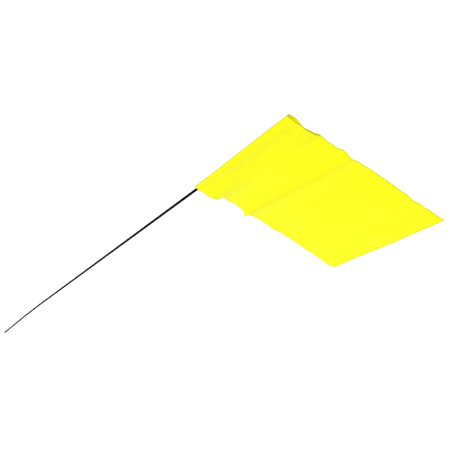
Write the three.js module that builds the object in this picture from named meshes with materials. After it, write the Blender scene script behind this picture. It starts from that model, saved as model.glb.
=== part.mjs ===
// Wire marking flag: a rectangle of plastic film hemmed round the top of a thin steel wire stake.
// Millimetres, +Z up the wire, +X along the fly of the flag. The origin is the wire's cut foot.
import * as THREE from 'three';

// ---- driving sizes ----
const STAFF_LENGTH = 609.6;        // cut length of the wire, 24 in
const WIRE_D = 2.0;                // wire diameter, 14 gauge
const WIRE_SIDES = 24;
const SET_ANGLE = 1.23;            // degrees of permanent set left in the lower part of the wire
const SET_HEIGHT = 128;            // height of the middle of that bend
const SET_SPAN = 100;              // length of wire the bend is spread over

const FLAG_HOIST = 101.6;          // height of the flag along the wire, 4 in
const FLAG_FLY = 127;              // from the folded edge to the free edge, 5 in
const FILM_T = 0.1;                // film thickness
const HEM_ABOVE_WIRE = 6;          // film standing above the wire's top end

const FOLD_INSET = 3.4;            // folded edge, outside the wire's axis
const LOOP_LENGTH = 8;             // width of the flattened loop the wire lies in
const WIRE_SLACK = 0.05;           // film clear of the wire's skin
const GLUE_GAP = 0.15;             // adhesive between the two layers beyond the loop
const SEAL_WIDTH = 3.4;            // width of that glued strip
const GLUE_SLACK = 0.02;           // adhesive clear of the film and of the wire
const GLUE_END_INSET = 1;          // adhesive short of each end of the hem
const LAP_REACH = 19;              // loose tail of the hem, from the wire's axis
const FOLD_REACH = 43;             // soft fold across the flag, from the wire's axis

const SEAL_HINGE_SETBACK = 0.1;    // end of the seal to the bending line beside it
const PANEL_SETBACK = 0.5;         // bending line to the start of the panel and of the lap
const SOFT_FOLD_GAP = 0.3;         // gap between the two panels at the soft fold

const BLACK_STEEL = 0x111112;
const FILM_YELLOW = 0xf7f315;
const GLUE_AMBER = 0xd8cf5a;

// ---- sizes that follow ----
const wireR = WIRE_D / 2;
const setSlope = Math.tan(THREE.MathUtils.degToRad(SET_ANGLE));
const axisX = -setSlope * SET_HEIGHT;              // the straight upper run of the wire
const hemTop = STAFF_LENGTH + HEM_ABOVE_WIRE;
const hemBottom = hemTop - FLAG_HOIST;
const layerY = GLUE_GAP / 2 + FILM_T / 2;          // middle of each film layer, off the wire's plane
const loopHalf = wireR + WIRE_SLACK + FILM_T / 2;  // middle of the film where it passes the wire
const loopEnd = LOOP_LENGTH - FOLD_INSET;
const sealEnd = loopEnd + SEAL_WIDTH;
const panelStart = sealEnd + SEAL_HINGE_SETBACK + PANEL_SETBACK;
const flyEdge = FLAG_FLY - FOLD_INSET;

const group = new THREE.Group();
group.name = 'wire_marking_flag';

function add(name, geometry, color, roughness, metalness) {
  const mesh = new THREE.Mesh(
    geometry,
    new THREE.MeshStandardMaterial({ name: `${name}_material`, color, roughness, metalness }),
  );
  mesh.name = name;
  group.add(mesh);
}

// Sideways place of the wire's axis at a height: inclined below the bend, upright above it.
function wireAxisX(z) {
  const into = z - (SET_HEIGHT - SET_SPAN / 2);
  if (into <= 0) return -setSlope * z;
  if (into >= SET_SPAN) return axisX;
  return -setSlope * (z - (into * into) / (2 * SET_SPAN));
}

// The stake: one piece of wire with square cut ends.
function staffWire() {
  const rings = 40;
  const geometry = new THREE.CylinderGeometry(wireR, wireR, STAFF_LENGTH, WIRE_SIDES, rings);
  geometry.rotateX(Math.PI / 2);
  geometry.translate(0, 0, STAFF_LENGTH / 2);
  const at = geometry.attributes.position;
  for (let i = 0; i < at.count; i += 1) at.setX(i, at.getX(i) + wireAxisX(at.getZ(i)));
  geometry.computeVertexNormals();
  return geometry;
}

// Half the distance between the two film layers, inside the loop and past it.
function halfGap(x) {
  if (x >= loopEnd) return layerY;
  return layerY + (loopHalf - layerY) * (0.5 + 0.5 * Math.cos((Math.PI * x) / loopEnd));
}

// Middle line of the film in plan: back layer, round the folded edge, front layer.
function hemMidline() {
  const flank = [];
  const steps = 16;
  flank.push(new THREE.Vector2(sealEnd, layerY));
  for (let i = steps; i > 0; i -= 1) {
    const x = (loopEnd * i) / steps;
    flank.push(new THREE.Vector2(x, halfGap(x)));
  }
  const bend = [];
  const arcSteps = 28;
  const reach = FOLD_INSET - FILM_T / 2;
  for (let i = 0; i <= arcSteps; i += 1) {
    const turn = (Math.PI * i) / arcSteps;
    bend.push(new THREE.Vector2(-reach * Math.sin(turn), loopHalf * Math.cos(turn)));
  }
  const mirrored = flank.map((p) => new THREE.Vector2(p.x, -p.y)).reverse();
  return [...flank, ...bend, ...mirrored];
}

// Outline of a film ribbon: the middle line moved half the film's thickness to each side.
function ribbon(midline, thickness) {
  const sides = [1, -1].map((side) => midline.map((point, i) => {
    const before = midline[Math.max(i - 1, 0)];
    const after = midline[Math.min(i + 1, midline.length - 1)];
    const along = after.clone().sub(before).normalize();
    const across = new THREE.Vector2(-along.y, along.x);
    return point.clone().addScaledVector(across, (side * thickness) / 2);
  }));
  return new THREE.Shape([...sides[0], ...sides[1].reverse()]);
}

function extruded(shape, bottom, top) {
  const geometry = new THREE.ExtrudeGeometry(shape, { depth: top - bottom, bevelEnabled: false });
  geometry.translate(axisX, 0, bottom);
  return geometry;
}

// Adhesive: fills the loop beside the wire and the thin gap between the layers up to the seal's end.
function adhesiveShape() {
  const hug = Math.PI / 3;
  const arcSteps = 10;
  const arcR = wireR + GLUE_SLACK;
  const contact = [];
  for (let i = 0; i <= arcSteps; i += 1) {
    const turn = -hug + (2 * hug * i) / arcSteps;
    contact.push(new THREE.Vector2(arcR * Math.cos(turn), arcR * Math.sin(turn)));
  }
  const upper = [];
  const steps = 16;
  const startX = arcR * Math.cos(hug);
  for (let i = 0; i <= steps; i += 1) {
    const x = startX + ((loopEnd - startX) * i) / steps;
    upper.push(new THREE.Vector2(x, halfGap(x) - FILM_T / 2 - GLUE_SLACK));
  }
  upper.push(new THREE.Vector2(sealEnd, layerY - FILM_T / 2 - GLUE_SLACK));
  const lower = upper.map((p) => new THREE.Vector2(p.x, -p.y)).reverse();
  return new THREE.Shape([...lower, ...contact, ...upper]);
}

// A flat length of film lying on one side of the wire's plane.
function filmStrip(from, to, side) {
  const geometry = new THREE.BoxGeometry(to - from, FILM_T, FLAG_HOIST);
  geometry.translate(axisX + (from + to) / 2, side * layerY, (hemBottom + hemTop) / 2);
  return geometry;
}

add('staff_wire', staffWire(), BLACK_STEEL, 0.45, 0.6);
add(
  'hem_adhesive',
  extruded(adhesiveShape(), hemBottom + GLUE_END_INSET, hemTop - HEM_ABOVE_WIRE - GLUE_END_INSET),
  GLUE_AMBER, 0.4, 0,
);
add('film_hem', extruded(ribbon(hemMidline(), FILM_T), hemBottom, hemTop), FILM_YELLOW, 0.4, 0);
add('film_lap', filmStrip(panelStart, LAP_REACH, 1), FILM_YELLOW, 0.4, 0);
add('film_inner_panel', filmStrip(panelStart, FOLD_REACH - SOFT_FOLD_GAP / 2, -1), FILM_YELLOW, 0.4, 0);
add('film_outer_panel', filmStrip(FOLD_REACH + SOFT_FOLD_GAP / 2, flyEdge, -1), FILM_YELLOW, 0.4, 0);

export default group;
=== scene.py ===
import math

import bpy
import numpy as np
from mathutils import Matrix, Vector


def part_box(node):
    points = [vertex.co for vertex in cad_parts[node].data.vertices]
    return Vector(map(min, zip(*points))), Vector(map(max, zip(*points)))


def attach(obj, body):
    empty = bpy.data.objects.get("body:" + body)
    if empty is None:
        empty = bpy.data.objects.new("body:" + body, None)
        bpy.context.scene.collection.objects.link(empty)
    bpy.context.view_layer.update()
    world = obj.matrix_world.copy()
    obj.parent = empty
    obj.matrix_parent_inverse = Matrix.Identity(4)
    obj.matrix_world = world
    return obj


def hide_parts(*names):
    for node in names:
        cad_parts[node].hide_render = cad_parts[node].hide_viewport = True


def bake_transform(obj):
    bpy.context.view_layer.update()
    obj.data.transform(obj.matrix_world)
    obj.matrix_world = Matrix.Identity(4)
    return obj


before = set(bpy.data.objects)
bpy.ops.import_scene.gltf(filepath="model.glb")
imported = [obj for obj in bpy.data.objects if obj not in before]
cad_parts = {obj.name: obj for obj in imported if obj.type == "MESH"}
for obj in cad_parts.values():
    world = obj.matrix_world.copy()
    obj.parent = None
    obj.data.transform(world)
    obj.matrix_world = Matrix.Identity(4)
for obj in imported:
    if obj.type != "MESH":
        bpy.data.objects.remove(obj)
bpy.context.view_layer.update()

bl_info = {
    "name": "Wire marking flag",
    "version": (1, 0, 0),
    "blender": (4, 5, 0),
    "location": "View3D > Sidebar > Marking flag",
    "description": "A plastic film marking flag hemmed and glued round a thin wire stake",
    "category": "Object",
}

MM = 0.001
WIRE_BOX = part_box("staff_wire")
HEM_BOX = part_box("film_hem")
GLUE_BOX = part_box("hem_adhesive")
FLY_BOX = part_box("film_outer_panel")

WIRE_DIAMETER = WIRE_BOX[1].y - WIRE_BOX[0].y
WIRE_RUN_X = WIRE_BOX[0].x + WIRE_DIAMETER / 2
FLAG_HEIGHT = HEM_BOX[1].z - HEM_BOX[0].z
FLAG_FLY = FLY_BOX[1].x - HEM_BOX[0].x
FILM_THICKNESS = FLY_BOX[1].y - FLY_BOX[0].y


# ---------------------------------------------------------------- settings


class WireSettings(bpy.types.PropertyGroup):
    """Sizes and finish of the stake."""

    diameter: bpy.props.FloatProperty(
        name="Diameter", description="Diameter of the wire",
        default=WIRE_DIAMETER, min=0.0005, max=0.006, unit="LENGTH")
    set_angle: bpy.props.FloatProperty(
        name="Set angle", description="Angle between the lower and the upper run of the wire",
        default=math.radians(1.23), min=0.0, max=0.2, subtype="ANGLE")
    set_height: bpy.props.FloatProperty(
        name="Set height", description="Height of the middle of that bend",
        default=0.128, min=0.05, max=0.4, unit="LENGTH")
    set_span: bpy.props.FloatProperty(
        name="Set span", description="Length of wire that the bend is spread over",
        default=0.1, min=0.01, max=0.3, unit="LENGTH")
    colour: bpy.props.FloatVectorProperty(
        name="Colour", description="Black finish of the wire",
        default=(0.003, 0.003, 0.0032), size=3, min=0.0, max=1.0, subtype="COLOR")
    steel: bpy.props.FloatVectorProperty(
        name="Bare steel", description="Steel that shows on the cut faces and in scuffs",
        default=(0.26, 0.25, 0.235), size=3, min=0.0, max=1.0, subtype="COLOR")
    wear: bpy.props.FloatProperty(
        name="Wear", description="Share of the black finish that is scuffed near the foot",
        default=0.4, min=0.0, max=1.0, subtype="FACTOR")


class FilmSettings(bpy.types.PropertyGroup):
    """Sizes and finish of the flag's film."""

    thickness: bpy.props.FloatProperty(
        name="Thickness", description="Thickness of the film",
        default=FILM_THICKNESS, min=0.00003, max=0.0005, unit="LENGTH")
    lean: bpy.props.FloatProperty(
        name="Lean", description="Angle of the folded edge to the wire",
        default=math.radians(0.76), min=-0.1, max=0.1, subtype="ANGLE")
    ripple: bpy.props.FloatProperty(
        name="Ripple", description="How far the film's edges wave, 1 as found",
        default=1.0, min=0.0, max=1.5, subtype="FACTOR")
    colour: bpy.props.FloatVectorProperty(
        name="Film", description="Fluorescent yellow of the film",
        default=(0.85, 0.84, 0.003), size=3, min=0.0, max=1.0, subtype="COLOR")
    # deeper tone of the glued double layer, partly painted shade; also the colour of the painted shade of
    # the tail
    hem_tone_and_shade: bpy.props.FloatVectorProperty(
        name="Hem", description="Deeper yellow where two layers and the glue lie together",
        default=(0.92, 0.84, 0.0), size=3, min=0.0, max=1.0, subtype="COLOR")
    # colour of the painted shade along the cut edges and the fold
    edge_shade_colour: bpy.props.FloatVectorProperty(
        name="Cut edge", description="Darker line along the film's cut edges",
        default=(0.34, 0.33, 0.004), size=3, min=0.0, max=1.0, subtype="COLOR")
    # a painted glow: emission that stands in for the fluorescence and lifts the shade
    glow: bpy.props.FloatProperty(
        name="Glow", description="Strength of the fluorescent glow",
        default=0.08, min=0.0, max=1.0)


class GlueSettings(bpy.types.PropertyGroup):
    """Finish of the adhesive in the hem."""

    colour: bpy.props.FloatVectorProperty(
        name="Colour", description="Amber of the set adhesive",
        default=(0.62, 0.46, 0.06), size=3, min=0.0, max=1.0, subtype="COLOR")


class StageSettings(bpy.types.PropertyGroup):
    """Floor, light and camera."""

    floor_colour: bpy.props.FloatVectorProperty(
        name="Floor", description="Plain pale floor",
        default=(0.93, 0.93, 0.93), size=3, min=0.0, max=1.0, subtype="COLOR")
    surround: bpy.props.FloatProperty(
        name="Surround", description="Brightness of the even white surround",
        default=0.9, min=0.0, max=3.0)
    key_power: bpy.props.FloatProperty(
        name="Key", description="Power of the large soft light beside the camera",
        default=12.0, min=0.0, max=500.0, unit="POWER")
    overhead_power: bpy.props.FloatProperty(
        name="Overhead", description="Power of the wide soft light above the floor",
        default=26.0, min=0.0, max=500.0, unit="POWER")


# ---------------------------------------------------------------- shader maths

# A Mix node's colour sockets come after those of its other data types.
MIX_SHARE, MIX_FIRST, MIX_SECOND, MIX_RESULT = 0, 6, 7, 2


class Signal:
    """A shader value that arithmetic can be written with; each operation adds one Math node."""

    def __init__(self, shader, socket):
        self.shader = shader
        self.socket = socket

    def math(self, operation, *others):
        """That Math node on this value and the others."""
        values = dict(enumerate((self, *others)))
        return self.shader.node("ShaderNodeMath", {"operation": operation}, values)

    def __add__(self, other):
        return self.math("ADD", other)

    def __radd__(self, other):
        return self.math("ADD", other)

    def __sub__(self, other):
        return self.math("SUBTRACT", other)

    def __rsub__(self, other):
        return self.shader.node("ShaderNodeMath", {"operation": "SUBTRACT"}, {0: other, 1: self})

    def __mul__(self, other):
        return self.math("MULTIPLY", other)

    def __rmul__(self, other):
        return self.math("MULTIPLY", other)

    def clamped(self):
        """This value held between 0 and 1."""
        return self.shader.node(
            "ShaderNodeMath", {"operation": "ADD", "use_clamp": True}, {0: self, 1: 0.0})

    def ramp(self, low, high):
        """0 at low, 1 at high and beyond, eased at both ends; low may be the larger."""
        return self.shader.node(
            "ShaderNodeMapRange", {"interpolation_type": "SMOOTHSTEP"},
            {"Value": self, "From Min": low, "From Max": high})


class Shader:
    """One material's node tree, emptied, with a Principled shader on its output."""

    def __init__(self, name):
        self.material = bpy.data.materials.new(name)
        self.material.use_nodes = True
        self.tree = self.material.node_tree
        self.tree.nodes.clear()
        self.output = self.tree.nodes.new("ShaderNodeOutputMaterial")
        self.surface = self.tree.nodes.new("ShaderNodeBsdfPrincipled")
        self.tree.links.new(self.surface.outputs[0], self.output.inputs["Surface"])

    def connect(self, socket, value):
        """Links a Signal to the socket, or sets the socket to a number, a vector or a colour."""
        if isinstance(value, Signal):
            self.tree.links.new(value.socket, socket)
        elif hasattr(value, "__len__") and len(value) == 3 and len(socket.default_value) == 4:
            socket.default_value = (*value, 1.0)
        else:
            socket.default_value = value

    def node(self, kind, settings=None, values=None, out=0):
        """A node of that kind: its settings first, then its sockets; gives one output as a Signal."""
        made = self.tree.nodes.new(kind)
        for name, value in (settings or {}).items():
            setattr(made, name, value)
        for name, value in (values or {}).items():
            self.connect(made.inputs[name], value)
        return Signal(self, made.outputs[out])

    def noise(self, place, size, detail, roughness=0.5):
        """Noise from 0 to 1 whose lumps are about size metres across."""
        return self.node(
            "ShaderNodeTexNoise", None,
            {"Vector": place, "Scale": 1.0 / size, "Detail": detail, "Roughness": roughness})

    def stretched(self, place, scale):
        """The place scaled along each axis; a small scale draws a pattern out along that axis."""
        return self.node("ShaderNodeMapping", None, {"Vector": place, "Scale": scale})

    def parts(self, vector):
        """The x, y and z of a vector."""
        first = self.node("ShaderNodeSeparateXYZ", None, {"Vector": vector})
        return [Signal(self, socket) for socket in first.socket.node.outputs]

    def mixed(self, share, first, second):
        """The first colour turned to the second by share."""
        return self.node(
            "ShaderNodeMix", {"data_type": "RGBA"},
            {MIX_SHARE: share, MIX_FIRST: first, MIX_SECOND: second}, out=MIX_RESULT)

    def bumped(self, height, distance, strength, under=None):
        """A bump of height 0 to 1 over that distance in metres, on top of the bump under it."""
        values = {"Height": height, "Distance": distance, "Strength": strength}
        if under is not None:
            values["Normal"] = under
        return self.node("ShaderNodeBump", None, values)

    def set(self, **values):
        """Sets the Principled shader's sockets; an underscore in a name stands for a space."""
        for name, value in values.items():
            self.connect(self.surface.inputs[name.replace("_", " ")], value)

    def attribute(self, name):
        """The number that point_values stored under that name."""
        return self.node("ShaderNodeAttribute", {"attribute_name": name}, out="Fac")

    def object_place(self):
        """The place on the piece, in metres."""
        return self.node("ShaderNodeTexCoord", out="Object")

    def sheet_place(self):
        """The place on the flat sheet, in metres, from the piece's own UV map."""
        flat = self.node("ShaderNodeUVMap", {"uv_map": "Sheet"})
        return self.node(
            "ShaderNodeVectorMath", {"operation": "MULTIPLY_ADD"},
            {0: flat, 1: (SHEET_SPAN,) * 3, 2: (SHEET_START * MM, SHEET_START * MM, 0.0)})


# ---------------------------------------------------------------- meshes


def bell(x, centre, width):
    """1 at the centre, falling as exp(-((x - centre) / width) squared)."""
    return np.exp(-(((x - centre) / width) ** 2))


def bells(x, *waves):
    """The sum of bells, each given by its height, centre and width."""
    return sum(height * bell(x, centre, width) for height, centre, width in waves)


def faded(distance, reach, power=1.0):
    """1 at no distance, falling as exp(-(distance / reach) to that power)."""
    return np.exp(-((distance / reach) ** power))


def eased(x, low, high):
    """0 below low, 1 above high, and 3 t squared - 2 t cubed between them."""
    t = np.clip((x - low) / (high - low), 0.0, 1.0)
    return t * t * (3.0 - 2.0 * t)


def grid_faces(rows, columns, closed=False):
    """Quads between neighbouring points of a grid; closed joins the last column to the first."""
    across = columns if closed else columns - 1
    row, column = np.meshgrid(np.arange(rows - 1), np.arange(across), indexing="ij")
    right = (column + 1) % columns
    corners = (row * columns + column, row * columns + right,
               (row + 1) * columns + right, (row + 1) * columns + column)
    return np.stack([c.ravel() for c in corners], axis=1)


def end_caps(rows, columns):
    """The corner numbers of the two faces that close a tube of rows of points, both facing outwards."""
    return [list(range(columns))[::-1], list(range((rows - 1) * columns, rows * columns))]


def mesh_object(name, points, faces, fans=()):
    """A smooth object at the origin, from an array of points in metres, an array of quads and lists of
    corner numbers for any other faces."""
    mesh = bpy.data.meshes.new(name)
    mesh.from_pydata(points.tolist(), [], [*faces.tolist(), *fans])
    mesh.update()
    mesh.polygons.foreach_set("use_smooth", np.full(len(mesh.polygons), True))
    made = bpy.data.objects.new(name, mesh)
    bpy.context.scene.collection.objects.link(made)
    return made


def point_values(piece, name, values):
    """Stores one number per point of the mesh under that name."""
    attribute = piece.data.attributes.new(name, "FLOAT", "POINT")
    attribute.data.foreach_set("value", np.asarray(values, np.float32).ravel())


def sheet_map(piece, u, v):
    """Stores each point's place on the flat sheet as the UV map Sheet."""
    corner = np.zeros(len(piece.data.loops), np.int32)
    piece.data.loops.foreach_get("vertex_index", corner)
    layer = piece.data.uv_layers.new(name="Sheet")
    layer.data.foreach_set("uv", np.stack([u.ravel()[corner], v.ravel()[corner]], 1).ravel())


# ---------------------------------------------------------------- the stake


def wire_path(height, settings):
    """Sideways place of the wire's axis: inclined below the bend, a parabola through it, upright above."""
    slope = math.tan(settings.set_angle)
    bend_start = settings.set_height - settings.set_span / 2
    below = np.minimum(height, bend_start)
    into = np.clip(height - bend_start, 0.0, settings.set_span)
    return -slope * (below + into - into ** 2 / (2 * settings.set_span))


def wire_mesh(settings):
    """A circle carried up the wire's path. At each end its radius shrinks on a quarter circle, the rim, to
    the cut face, and the face slants a little, as a shear leaves it."""
    sides, run_rings, rim_rings = 40, 150, 5
    radius = settings.diameter / 2
    length = WIRE_BOX[1].z
    rim = 0.14 * radius
    face_shares = np.array([0.55, 0.0001])    # rings on the cut face, as shares of its radius
    slant = 0.07                              # rise of the cut face across the wire
    slanted = 3 * radius                      # the slant has faded at this distance from the face

    turn_in = np.linspace(0.0, math.pi / 2, rim_rings + 1)[:-1]
    low = rim - rim * np.cos(turn_in)
    shrink = rim * (1.0 - np.sin(turn_in))
    run = np.linspace(rim, length - rim, run_rings)
    height = np.concatenate([low, run, length - low[::-1]])
    ring = radius - np.concatenate([shrink, np.zeros(run_rings), shrink[::-1]])
    height = np.pad(height, len(face_shares), mode="edge")
    ring = np.concatenate([face_shares[::-1] * ring[0], ring, face_shares * ring[-1]])

    turn = np.linspace(0.0, 2 * math.pi, sides, endpoint=False)
    side = ring[:, None] * np.cos(turn)
    near_foot = eased(-height, -slanted, 0.0)[:, None]
    near_top = eased(height, length - slanted, length)[:, None]
    x = wire_path(height, settings)[:, None] + side
    y = ring[:, None] * np.sin(turn)
    z = height[:, None] + near_foot * slant * (side + radius) + near_top * slant * (side - radius)
    points = np.stack([x, y, z], axis=-1).reshape(-1, 3)
    rows = len(height)
    faces = grid_faces(rows, sides, closed=True)
    wire = mesh_object("stake_wire", points, faces, end_caps(rows, sides))

    cut = np.zeros(rows)
    bare_rings = len(face_shares) + 2         # the cut face and the first rings of the rim
    cut[:bare_rings] = 1.0
    cut[-bare_rings:] = 1.0
    point_values(wire, "cut", np.repeat(cut, sides))
    return wire


def wire_material(settings):
    """Black drawn steel: fine lengthwise draw lines, paler where it is rubbed, thin scuffs that grow more
    towards the foot, and bare steel on the sheared faces."""
    shader = Shader("black_drawn_steel")
    place = shader.object_place()
    height = shader.parts(place)[2]
    along = shader.stretched(place, (1.0, 1.0, 0.02))
    scuffed_along = shader.stretched(place, (1.0, 1.0, 0.16))
    lines = shader.noise(along, 0.00022, detail=3.0)
    scale = shader.noise(place, 0.0011, detail=3.0, roughness=0.6)
    long_scuffs = shader.noise(scuffed_along, 0.0012, detail=4.0, roughness=0.65)
    towards_foot = height.ramp(0.14, 0.0)

    least = 0.70 - 0.3 * settings.wear * towards_foot
    sharpness = 14.0
    scuffed = ((long_scuffs - least) * sharpness).clamped()
    bare = (scuffed * (0.3 + 0.5 * towards_foot) + shader.attribute("cut")).clamped()
    dusty = scale.ramp(0.35, 0.75)
    rubbed_lines = 0.4 * lines.ramp(0.45, 0.75)
    rubbed_patches = 0.4 * dusty * long_scuffs.ramp(0.4, 0.7)
    rubbed = (rubbed_lines + rubbed_patches).clamped()
    rubbed_grey = (0.02, 0.0195, 0.0185)
    black = shader.mixed(rubbed, tuple(settings.colour), rubbed_grey)
    shader.set(
        Base_Color=shader.mixed(bare, black, tuple(settings.steel)),
        Roughness=(0.3 + 0.16 * lines + 0.1 * dusty).clamped(),
        Metallic=bare,
        IOR=1.02,
        Normal=shader.bumped(scale, 0.00002, 0.6, under=shader.bumped(lines, 0.00002, 0.7)),
    )
    return shader.material


# ---------------------------------------------------------------- the film's shape

# Places on the film are in millimetres: x out from the folded edge's line, z up from the flag's lower edge.
HEIGHT = FLAG_HEIGHT / MM
FLY = FLAG_FLY / MM
WIRE_RADIUS = WIRE_DIAMETER / MM / 2
FOLD_X = -0.7                       # outside of the folded edge
WIRE_LOW_X = 2.08                   # wire's axis at the lower edge, where it is nearest to the fold
LOOP_TAIL = 6.8                     # from the wire's axis to where the two layers close
LOOP_HALF = WIRE_RADIUS + 0.1       # half the loop's depth at the wire, to the middle of the film
LAYER_HALF = 0.125                  # half the distance between the two layers beyond the loop
LAP_LOW = 18.6                      # free edge of the folded-over tail, at the lower edge
LAP_TOP = 23.4                      # the same at the upper edge
SEAM_X = 27.0                       # hem piece and field piece of the sheet meet here
CREASE_LOW = 41.95                  # the ridge's place at the lower edge
CREASE_SLOPE = 0.055                # how fast it leans outwards going up
BACK_BULGE = 0.35                   # how far the back layer gapes at the hem's upper end
FRONT_BULGE = 0.65                  # how far the front layer gapes there
LOWER_GAPE = 0.55                   # how far the front layer gapes at the hem's lower end
LOWER_CORNER = 2.4                  # radius of the lower free corner
UPPER_CORNER = 1.2                  # radius of the upper free corner
GLUE_START = 1.2                    # lower end of the glue, above the lower edge
GLUE_CLEAR = 0.02                   # glue clear of the film and of the wire
SHEET_START = -32.0                 # place on the sheet at UV 0
SHEET_SPAN = 0.165                  # metres of sheet in one unit of UV


def wire_x(z):
    """The wire's axis on the film: it leaves the folded edge by the film's lean."""
    return WIRE_LOW_X + z * math.tan(bpy.context.scene.flag_film.lean)


def crease(x, z):
    """A soft ridge towards the front along the fold: exp(-|distance| / width), rounded at its crest, narrow
    and tall at the lower edge, low and wide above it, and steeper on the side towards the wire."""
    away = x - (CREASE_LOW + CREASE_SLOPE * z)
    opened = eased(z, 0.0, 34.0)
    wire_side, free_side = 1.75 + 2.4 * opened, 3.3 + 4.7 * opened
    width = np.where(away < 0, wire_side, free_side)
    crest = 0.25 + 0.45 * opened
    height = 0.85 + 3.6 * faded(z, 11.0, 1.25)
    return -height * np.exp(-(np.sqrt(away ** 2 + crest ** 2) - crest) / width)


def lower_waves(x, z):
    """Waves of the lower edge: a lobe forward beside the hem, a step back just past the end of the double
    layer, a long swell back, and the free corner curling forward. Each fades upwards."""
    step_x, step_width = LAP_LOW + 1.5, 1.0 + 0.2 * z
    step = 0.5 + 0.5 * np.tanh((x - step_x) / step_width)
    lobe = bells(x, (-1.9, 11.3, 7.5)) * (1 - step) * faded(z, 17.0, 1.4)
    swell = bells(x, (3.35, 34.0, 50.0), (0.35, 23.0, 2.0), (-0.8, 65.0, 8.0)) * step
    corner = bells(x, (-1.5, 120.5, 10.0), (-0.5, 99.5, 3.5)) * faded(z, 17.0, 1.3)
    return lobe + swell * faded(z, 38.0, 1.2) + corner


def upper_waves(x, z):
    """Waves of the upper edge, smaller and shorter than the lower ones, fading downwards."""
    down = HEIGHT - z
    beside_hem = ((-1.8, 12.8, 5.2), (-0.75, 18.7, 2.6), (0.95, 24.0, 2.6))
    beside_crease = ((1.0, 41.0, 3.2), (-0.55, 47.2, 1.4))
    middle = ((0.45, 63.5, 4.0), (0.45, 77.5, 4.0), (0.35, 91.0, 2.2))
    free_end = ((-1.0, 98.0, 3.2), (-0.35, 108.3, 1.7))
    short = bells(x, *beside_hem, *beside_crease, *middle, *free_end) * faded(down, 9.0, 1.2)
    long = bell(x, 62.0, 20.0) * faded(down, 24.0, 1.3)
    return short + long


def field_dents(x, z):
    """The free edge bowing forward at half height, shallow dents left by handling, long low waves, and the
    field standing a little back."""
    bow = (bells(z, (-0.45, 60.0, 10.0)) + 0.9 * (z / HEIGHT) ** 2 - 0.8
           + 0.5 * faded(z, 9.0) + 0.4 * faded(HEIGHT - z, 9.0))
    bow = bow * eased(x, 80.0, 126.0) ** 1.5
    dents = (bells(x, (-0.45, 90.0, 9.0)) * bell(z, 80.0, 8.0)
             + bells(x, (0.4, 104.0, 8.0)) * bell(z, 66.0, 13.0)
             + bells(x, (-0.35, 70.0, 14.0)) * bell(z, 30.0, 10.0)
             + bells(x, (0.3, 60.0, 7.0)) * bell(z, 64.0, 18.0))
    long_waves = 0.22 * np.sin(x / 9.5 + z / 23.0) * np.sin(z / 14.0 + 0.6) * eased(x, 14.0, 40.0)
    set_back = 0.08 + 0.2 * eased(x, 30.0, 48.0)
    return bow + dents + long_waves + set_back


def edge_flutter(x, z):
    """Small quick waves of sines whose lengths don't divide each other, only within a few millimetres of
    the upper and the lower edge."""
    near = faded(z, 3.5) + faded(HEIGHT - z, 3.5)
    beats = 0.16 * np.sin(x / 1.37 + 1.0) * np.sin(x / 7.3)
    return near * (beats + 0.12 * np.sin(x / 2.21 + z / 5.0))


def film_depth(x, z):
    """How far the film's middle stands behind (+) the wire's plane. It is nothing at the wire and grows to
    its full waves past the loop."""
    freed = eased(x, 3.4, 8.0)
    waves = lower_waves(x, z) + upper_waves(x, z) + field_dents(x, z) + crease(x, z) + edge_flutter(x, z)
    return bpy.context.scene.flag_film.ripple * freed * waves


def loop_half(x, z):
    """Half the distance between the layers on the side of the loop away from the fold: a half cosine wave
    from the wire down to where the layers close."""
    past = np.clip((x - wire_x(z)) / LOOP_TAIL, 0.0, 1.0)
    return LAYER_HALF + (LOOP_HALF - LAYER_HALF) * (0.5 + 0.5 * np.cos(math.pi * past))


def top_bulge(x, z, height):
    """How far a layer bulges from the other beside the wire, where the glue stops short of the top."""
    return height * bell(x, 5.8, 2.4) * faded(HEIGHT - z, 4.5)


def lap_edge(z):
    """The free edge of the folded-over tail, a slanting line."""
    return LAP_LOW + (LAP_TOP - LAP_LOW) * z / HEIGHT


def lap_lift(x, z):
    """The folded-over tail standing off the flag: most at the two ends of the hem, and a little along its
    free edge."""
    tail = eased(x, 9.5, 16.0)
    upper_end = 0.8 * faded(HEIGHT - z, 7.0) * (1 - 0.8 * eased(x, 20.5, LAP_TOP))
    lower_end = 0.3 * faded(z, 6.0)
    uneven = 1.0 + 0.5 * np.sin(z / 6.1) * np.sin(z / 15.0)
    free_edge = 0.22 * eased(x, lap_edge(z) - 5.0, lap_edge(z)) * uneven
    return tail * (upper_end + lower_end) + free_edge


def film_place(x, depth, z):
    """Points in the frame, in metres, from places on the film: turned by the lean about the lower end of
    the folded edge's line, which stands WIRE_LOW_X from the wire's axis."""
    lean = bpy.context.scene.flag_film.lean
    foot_x, foot_z = WIRE_RUN_X / MM - WIRE_LOW_X, HEM_BOX[0].z / MM
    across = foot_x + x * math.cos(lean) - z * math.sin(lean)
    up = foot_z + x * math.sin(lean) + z * math.cos(lean)
    return np.stack([across, depth, up], axis=-1).reshape(-1, 3) * MM


def spaced(low, high, count, gather=0.0, support=(0.0, 0.0)):
    """count values from low to high, drawn towards both ends by gather. One more value stands as close to
    each end as support says, which keeps the rounding of the shading within it."""
    t = np.linspace(0.0, 1.0, count)
    values = low + (high - low) * (t - gather * np.sin(2 * math.pi * t) / (2 * math.pi))
    return np.unique(np.concatenate([values, [low + support[0], high - support[1]]]))


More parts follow.
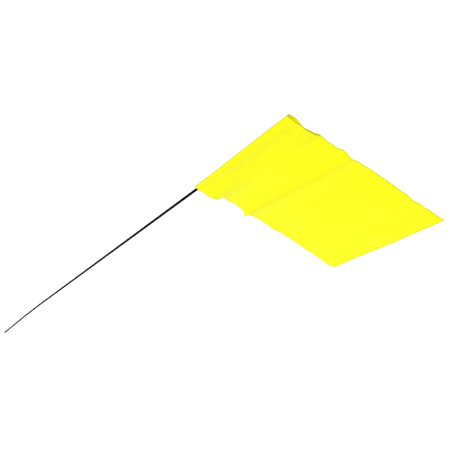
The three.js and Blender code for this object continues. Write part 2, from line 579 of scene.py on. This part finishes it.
def hem_piece(settings):
    """The hem end of the sheet. Across the sheet: the folded-over tail from its free edge to the wire, half
    an ellipse round the folded edge, and the front layer out to the seam. Up the sheet: the wire's
    direction."""
    z = spaced(0.0, HEIGHT, count=150, gather=0.55, support=(0.03, 0.03))[:, None]
    back_t = spaced(0.0, 1.0, count=46, support=(0.002, 0.0))[:-1]
    arc_t = np.linspace(0.0, 1.0, 25)[:-1]
    front_t = spaced(0.0, 1.0, count=64, support=(0.0, 0.0002))
    axis = wire_x(z)

    back_x = lap_edge(z) + (axis - lap_edge(z)) * back_t
    back_y = film_depth(back_x, z) + loop_half(back_x, z) + lap_lift(back_x, z)
    back_y = back_y + top_bulge(back_x, z, BACK_BULGE)

    reach = axis - FOLD_X - settings.thickness / MM / 2
    arc_x = axis - reach * np.sin(math.pi * arc_t)
    arc_y = loop_half(axis, z) * np.cos(math.pi * arc_t)
    arc_y = arc_y + top_bulge(axis, z, BACK_BULGE) * (1 - arc_t) - top_bulge(axis, z, FRONT_BULGE) * arc_t

    front_x = axis + (SEAM_X - axis) * front_t
    front_y = film_depth(front_x, z) - loop_half(front_x, z) - top_bulge(front_x, z, FRONT_BULGE)
    front_y = front_y - LOWER_GAPE * bell(front_x, 3.9, 2.4) * faded(z, 6.0)

    x = np.concatenate([back_x, arc_x, front_x], axis=1)
    depth = np.concatenate([back_y, arc_y, front_y], axis=1)
    up = np.broadcast_to(z, x.shape)
    piece = mesh_object("flag_hem", film_place(x, depth, up), grid_faces(*x.shape))

    on_tail = np.arange(x.shape[1]) < len(back_t) + len(arc_t) // 2
    unfolded = np.where(on_tail, 2 * FOLD_X - x, x)
    from_tail_edge = np.abs(unfolded - (2 * FOLD_X - lap_edge(z)))
    finish_sheet(piece, settings, unfolded, up, from_tail_edge)
    return piece


def rounded_off(distance, radius):
    """What a quarter circle takes off an edge at a distance from its corner: radius - sqrt(radius squared -
    (radius - distance) squared), and nothing past the radius."""
    into = np.clip(1 - distance / radius, 0, 1) * radius
    return radius - np.sqrt(radius ** 2 - into ** 2)


def field_piece(settings):
    """The rest of the sheet, from the seam to the free edge, with the two free corners rounded off on
    quarter circles."""
    z = spaced(0.0, HEIGHT, count=190, gather=0.6, support=(0.03, 0.03))[:, None]
    t = spaced(0.0, 1.0, count=200, gather=0.25, support=(0.00005, 0.0003))
    end = FLY + FOLD_X - rounded_off(z, LOWER_CORNER) - rounded_off(HEIGHT - z, UPPER_CORNER)
    x = SEAM_X + (end - SEAM_X) * t
    depth = film_depth(x, z) - LAYER_HALF
    up = np.broadcast_to(z, x.shape)
    piece = mesh_object("flag_field", film_place(x, depth, up), grid_faces(*x.shape))
    finish_sheet(piece, settings, x, up, end - x)
    return piece


def finish_sheet(piece, settings, x, z, from_side):
    """Gives a film piece its flat map, its distance from the nearest cut edge, and its thickness. from_side
    is the distance from the edge that closes the piece sideways."""
    sheet_map(piece, (x - SHEET_START) * MM / SHEET_SPAN, (z - SHEET_START) * MM / SHEET_SPAN)
    point_values(piece, "from_edge", np.minimum(np.minimum(z, HEIGHT - z), from_side))
    wall = piece.modifiers.new("film thickness", "SOLIDIFY")
    wall.thickness = settings.thickness
    wall.offset = 0.0
    wall.use_even_offset = True


def film_material(settings):
    """Fluorescent vinyl film: a faint cloud in the colour, streaks from the rolling, a deeper tone over the
    glued hem that is partly painted shade, painted shade of the wire and of the folded-over tail behind the
    front layer, a darker line of painted shade along the cut edges, the fold and the crease, fine creases
    from handling, a soft satin grain, a painted glow standing in for the fluorescence, and light through it."""
    shader = Shader("fluorescent_film")
    place = shader.sheet_place()
    x, z, _ = shader.parts(place)
    cloud = shader.noise(place, 0.019, detail=3.0, roughness=0.55)
    grain = shader.noise(place, 0.00032, detail=2.0, roughness=0.6)
    dents = shader.noise(place, 0.0075, detail=2.0, roughness=0.45)
    specks = shader.noise(place, 0.0009, detail=1.0, roughness=0.4).ramp(0.74, 0.82)

    def drawn_out(scale, size, detail, roughness):
        """Noise whose lumps are longer along the axis with the smaller scale."""
        return shader.noise(shader.stretched(place, scale), size, detail, roughness)

    rolled = drawn_out((0.06, 1.0, 1.0), 0.0011, detail=3.0, roughness=0.6)
    streaks = drawn_out((0.03, 1.0, 1.0), 0.0026, detail=4.0, roughness=0.62)
    scuffs = drawn_out((0.25, 1.0, 1.0), 0.0016, detail=4.0, roughness=0.7)
    warped = drawn_out((0.8, 0.35, 1.0), 0.013, detail=3.0, roughness=0.6)
    handled = (warped - 0.5).math("ABSOLUTE").ramp(0.012, 0.0) * cloud.ramp(0.48, 0.62)

    def from_line(start, slope):
        """Metres past a line across the film that starts there at the lower edge and leans by slope."""
        return x - start * MM - z * slope

    glued = x.ramp(0.0125, 0.004) * x.ramp(-0.030, -0.014)
    lower_end = z.ramp(0.060, 0.0)
    # deeper tone over the glued hem, partly painted shade of the loop, stronger towards the lower end
    hem = glued * (0.45 + 0.4 * lower_end + 0.3 * (cloud - 0.5))
    # painted shade of the folded-over tail behind the front layer, out to the tail's free edge
    tail = from_line(LAP_LOW, (LAP_TOP - LAP_LOW) / HEIGHT).ramp(0.0003, -0.0003)
    # painted shadow of the wire behind the film: a darker line along the wire's axis
    wire = from_line(WIRE_LOW_X, math.tan(settings.lean)).math("ABSOLUTE").ramp(0.0012, 0.0003)
    # painted shade along the crease's ridge line, fading over a few millimetres to each side
    ridge = from_line(CREASE_LOW, CREASE_SLOPE).math("ABSOLUTE").ramp(0.0040, 0.0004)
    # painted shade along the fold and along the cut edges, made uneven by the scuffs noise
    folded = from_line(FOLD_X + 0.15, 0.0).math("ABSOLUTE").ramp(0.0008, 0.0002)
    cut = shader.attribute("from_edge").ramp(0.65, 0.25)
    edges = cut * (0.6 + 0.6 * scuffs) + folded * (0.25 + 0.4 * scuffs)

    warmer, greener = (0.86, 0.835, 0.002), (0.835, 0.845, 0.004)
    # colours of the painted shadow of the wire behind the film and of the painted shade along the crease
    wire_shadow_through, crease_shade_colour = (0.70, 0.66, 0.0), (0.84, 0.72, 0.004)
    whitened, dusty = (0.87, 0.875, 0.035), (0.62, 0.58, 0.03)
    hem_tone_and_shade, edge_shade_colour = tuple(settings.hem_tone_and_shade), tuple(settings.edge_shade_colour)
    tone = tuple(settings.colour)
    for share, colour in (
            (cloud.ramp(0.35, 0.7) * 0.35, warmer),
            (streaks.ramp(0.45, 0.8) * 0.5, greener),
            # painted shade of the folded-over tail
            ((tail * 0.2).clamped(), hem_tone_and_shade),
            # deeper tone of the glued hem, partly painted shade
            (hem.clamped(), hem_tone_and_shade),
            # painted shadow of the wire behind the film
            (wire * 0.12, wire_shadow_through),
            (handled * 0.35, whitened),
            (specks * 0.5, dusty),
            # painted shade along the crease
            (ridge * 0.6, crease_shade_colour),
            # painted shade along the cut edges and the fold
            (edges.clamped(), edge_shade_colour)):
        tone = shader.mixed(share, tone, colour)
    worn = 0.14 * scuffs.ramp(0.5, 0.75) + 0.12 * handled
    # painted glow: yellow-green emission standing in for the fluorescence, lifting the shade
    painted_glow_colour = (0.86, 1.0, 0.0)
    shader.set(
        Base_Color=tone,
        Roughness=(0.36 + 0.1 * grain + worn - 0.06 * glued).clamped(),
        Specular_IOR_Level=0.14,
        Specular_Tint=(1.0, 0.96, 0.35, 1.0),
        Emission_Color=painted_glow_colour,
        Emission_Strength=settings.glow,
        Normal=shader.bumped(
            grain + 0.8 * rolled + 1.5 * handled, 0.00002, 0.8,
            under=shader.bumped(dents + 0.4 * streaks, 0.0006, 0.45)),
    )
    front = Signal(shader, shader.surface.outputs[0])
    through = shader.node("ShaderNodeBsdfTranslucent", None, {"Color": tuple(settings.colour)})
    share_through = 0.18
    both = shader.node("ShaderNodeMixShader", None, {0: share_through, 1: front, 2: through})
    shader.connect(shader.output.inputs["Surface"], both)
    return shader.material


# ---------------------------------------------------------------- the glue


def glue_mesh():
    """Carried up the hem: a section that hugs the wire on an arc of a third of a turn, then follows the
    inside of both layers to the end of the glued strip, where it is rounded off as the square root of 1 - t
    squared. Its far edge wanders, as adhesive squeezed between two layers does."""
    z = np.linspace(GLUE_START, (GLUE_BOX[1].z - HEM_BOX[0].z) / MM, 120)[:, None]
    axis = wire_x(z)
    skin = WIRE_RADIUS + GLUE_CLEAR
    hug = np.linspace(-1.0, 1.0, 11) * math.pi / 3
    contact_x = axis + skin * np.cos(hug)
    contact_y = skin * np.sin(hug) + 0 * axis

    past_loop = 1.8 + 0.25 * np.sin(z / 4.7) * np.sin(z / 11.0) + 0.12 * np.sin(z / 1.9)
    t = np.linspace(0.0, 1.0, 22)
    start = axis + skin * math.cos(math.pi / 3)
    strip_x = start + (axis + LOOP_TAIL + past_loop - start) * t
    rounded_share, least_square = 0.1, 0.04
    into_end = np.clip((t - (1 - rounded_share)) / rounded_share, 0, 1)
    half = loop_half(strip_x, z) - FILM_THICKNESS / MM / 2 - GLUE_CLEAR
    half = half * np.sqrt(np.clip(1 - into_end ** 2, least_square, 1))
    middle = film_depth(strip_x, z)

    x = np.concatenate([strip_x[:, ::-1], contact_x, strip_x], axis=1)
    depth = np.concatenate([(middle - half)[:, ::-1], contact_y, middle + half], axis=1)
    points = film_place(x, depth, np.broadcast_to(z, x.shape))
    return mesh_object("hem_glue", points, grid_faces(*x.shape, closed=True), end_caps(*x.shape))


def glue_material(settings):
    """Set hot glue: amber, waxy, slightly cloudy."""
    shader = Shader("set_glue")
    cloud = shader.noise(shader.object_place(), 0.003, detail=3.0)
    paler = (0.72, 0.6, 0.16)
    shader.set(
        Base_Color=shader.mixed(cloud, tuple(settings.colour), paler),
        Roughness=0.3 + 0.2 * cloud,
        Normal=shader.bumped(cloud, 0.0001, 0.5),
        Subsurface_Weight=0.2,
        Subsurface_Radius=(0.002, 0.0012, 0.0004),
    )
    return shader.material


# ---------------------------------------------------------------- operators


class FLAG_OT_stake_wire(bpy.types.Operator):
    """Builds the black wire stake with its sheared ends"""

    bl_idname = "marking_flag.stake_wire"
    bl_label = "Stake wire"

    def execute(self, context):
        settings = context.scene.flag_wire
        wire = wire_mesh(settings)
        wire.data.materials.append(wire_material(settings))
        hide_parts("staff_wire")
        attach(wire, "staff")
        return {"FINISHED"}


class FLAG_OT_hem_glue(bpy.types.Operator):
    """Builds the adhesive that holds the folded film to the wire"""

    bl_idname = "marking_flag.hem_glue"
    bl_label = "Hem glue"

    def execute(self, context):
        glue = glue_mesh()
        glue.data.materials.append(glue_material(context.scene.flag_glue))
        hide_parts("hem_adhesive")
        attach(glue, "staff")
        return {"FINISHED"}


class FLAG_OT_film(bpy.types.Operator):
    """Builds the flag's film: the hem with its folded-over tail, and the field out to the free edge"""

    bl_idname = "marking_flag.film"
    bl_label = "Film"

    def execute(self, context):
        settings = context.scene.flag_film
        material = film_material(settings)
        hem, field = hem_piece(settings), field_piece(settings)
        for piece in (hem, field):
            piece.data.materials.append(material)
        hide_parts("film_hem", "film_lap")
        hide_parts("film_inner_panel", "film_outer_panel")
        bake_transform(hem)
        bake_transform(field)
        return {"FINISHED"}


class FLAG_OT_stage(bpy.types.Operator):
    """Lays the floor, sets the soft lights and the camera"""

    bl_idname = "marking_flag.stage"
    bl_label = "Stage"

    def execute(self, context):
        settings = context.scene.flag_stage
        lay_floor(settings)
        set_lights(settings)
        set_camera()
        context.scene.view_settings.view_transform = "Standard"
        return {"FINISHED"}


def lay_floor(settings):
    """A disc of floor under the foot: rings whose radius grows evenly, so it reaches far past the view."""
    sides, rings = 96, 12
    inner_radius, outer_radius, below_foot = 0.0005, 4.0, 0.0002
    turn = np.linspace(0, 2 * math.pi, sides, endpoint=False)
    radius = np.linspace(inner_radius, outer_radius, rings)[:, None]
    x, y = radius * np.cos(turn), radius * np.sin(turn)
    points = np.stack([x, y, 0 * x - below_foot], axis=-1).reshape(-1, 3)
    floor = mesh_object("floor", points, grid_faces(rings, sides, closed=True), [list(range(sides))])
    shader = Shader("pale_floor")
    mottle = shader.noise(shader.object_place(), 0.06, detail=3.0)
    darker = tuple(channel * 0.985 for channel in settings.floor_colour)
    shader.set(
        Base_Color=shader.mixed(mottle, tuple(settings.floor_colour), darker),
        Roughness=0.75 + 0.1 * mottle,
        Specular_IOR_Level=0.2,
    )
    floor.data.materials.append(shader.material)


def soft_light(name, place, aim, size, power):
    """A white square area light of that size and power at a place, facing aim."""
    data = bpy.data.lights.new(name, "AREA")
    data.shape = "SQUARE"
    data.size = size
    data.energy = power
    light = bpy.data.objects.new(name, data)
    light.location = place
    light.rotation_mode = "QUATERNION"
    light.rotation_quaternion = (Vector(aim) - Vector(place)).to_track_quat("-Z", "Y")
    bpy.context.scene.collection.objects.link(light)


def set_lights(settings):
    """An even white surround, a large soft light beside the camera and a wide one above the floor."""
    world = bpy.data.worlds.new("even_white")
    world.use_nodes = True
    back = world.node_tree.nodes["Background"]
    back.inputs["Color"].default_value = (1.0, 1.0, 1.0, 1.0)
    back.inputs["Strength"].default_value = settings.surround
    bpy.context.scene.world = world
    flag = (FLY_BOX[0] + FLY_BOX[1]) / 2
    beside_camera = (-1.05, -0.75, 1.45)
    over_floor, on_floor = (0.45, 0.7, 2.4), (0.45, 0.7, 0.0)
    soft_light("key", beside_camera, flag, size=0.9, power=settings.key_power)
    soft_light("overhead", over_floor, on_floor, size=2.2, power=settings.overhead_power)


def set_camera():
    """A camera rolled well over to its side, above and in front of the flag, looking down along the wire."""
    place = Vector((-0.12751, -0.22353, 0.82425))
    facing = Vector((0.37644, 0.51620, -0.76931)).normalized()
    roll = math.radians(59.05)
    data = bpy.data.cameras.new("camera")
    data.sensor_width = 36.0
    data.lens = 47.13
    data.clip_start, data.clip_end = 0.01, 20.0
    camera = bpy.data.objects.new("camera", data)
    level = facing.to_track_quat("-Z", "Y").to_matrix()
    rolled = level @ Matrix.Rotation(roll, 3, "Z")
    camera.matrix_world = Matrix.LocRotScale(place, rolled, None)
    bpy.context.scene.collection.objects.link(camera)
    bpy.context.scene.camera = camera


class FLAG_PT_panel(bpy.types.Panel):
    """Lists the flag's settings and the steps that build it"""

    bl_label = "Marking flag"
    bl_idname = "FLAG_PT_panel"
    bl_space_type = "VIEW_3D"
    bl_region_type = "UI"
    bl_category = "Marking flag"

    def draw(self, context):
        layout = self.layout
        for group, step in STEPS.items():
            box = layout.box()
            settings = getattr(context.scene, group)
            for name in settings.__annotations__:
                box.prop(settings, name)
            box.operator(step.bl_idname)


STEPS = {
    "flag_wire": FLAG_OT_stake_wire,
    "flag_glue": FLAG_OT_hem_glue,
    "flag_film": FLAG_OT_film,
    "flag_stage": FLAG_OT_stage,
}
SETTINGS = {
    "flag_wire": WireSettings,
    "flag_glue": GlueSettings,
    "flag_film": FilmSettings,
    "flag_stage": StageSettings,
}


def register():
    """Registers the classes and hangs the settings on the scene."""
    for kind in (*SETTINGS.values(), *STEPS.values(), FLAG_PT_panel):
        bpy.utils.register_class(kind)
    for name, kind in SETTINGS.items():
        setattr(bpy.types.Scene, name, bpy.props.PointerProperty(type=kind))


def unregister():
    """Takes the settings and the classes away again."""
    for name in SETTINGS:
        delattr(bpy.types.Scene, name)
    for kind in (FLAG_PT_panel, *STEPS.values(), *SETTINGS.values()):
        bpy.utils.unregister_class(kind)


def main():
    """Builds the flag and its stage."""
    register()
    bpy.ops.marking_flag.stake_wire()
    bpy.ops.marking_flag.hem_glue()
    bpy.ops.marking_flag.film()
    bpy.ops.marking_flag.stage()


if __name__ == "__main__":
    main()
